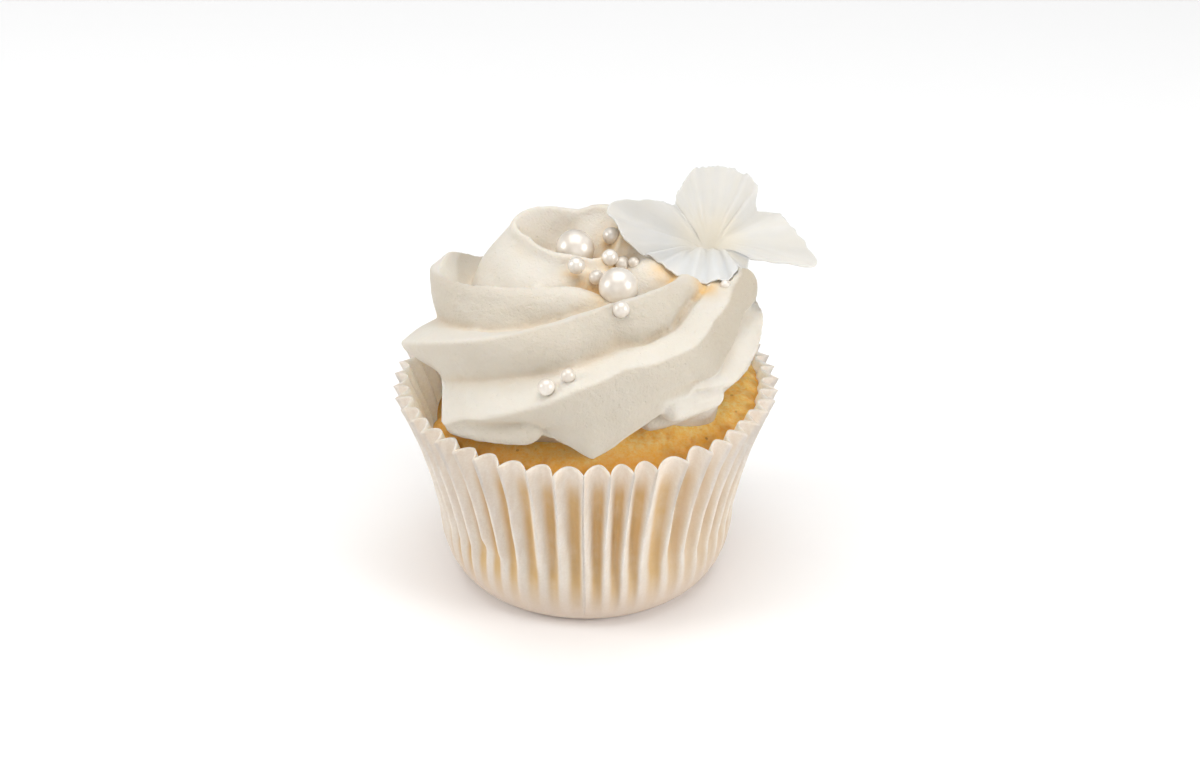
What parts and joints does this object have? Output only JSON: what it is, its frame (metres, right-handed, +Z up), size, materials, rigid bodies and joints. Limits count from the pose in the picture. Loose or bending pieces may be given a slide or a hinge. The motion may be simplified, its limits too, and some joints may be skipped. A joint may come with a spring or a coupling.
{
  "type": "cupcake",
  "caption": "Vanilla cupcake in its pleated paper case, finished with a piped swirl of buttercream, pearl sugar beads and a white flower; a small cake to eat by hand.",
  "frame": {"origin": "middle of the paper case's flat base, at the level it stands on", "axes": "+Z up, +Y away from the front, +X to the right as seen from the front; the flower is on the right"},
  "size_m": [0.0765, 0.07, 0.0747],
  "materials": {
    "paper": "matt baking paper, slightly translucent",
    "sponge": "matt baked crumb",
    "buttercream": "soft satin cream",
    "petal": "matt, thin and translucent",
    "pearl": "pearlescent sugar shell"
  },
  "bodies": {
    "root": {"paper_case": "paper", "sponge": "sponge", "frosting": "buttercream", "flower": "petal", "bead_large_1": "pearl", "bead_large_2": "pearl"}
  },
  "joints": []
}
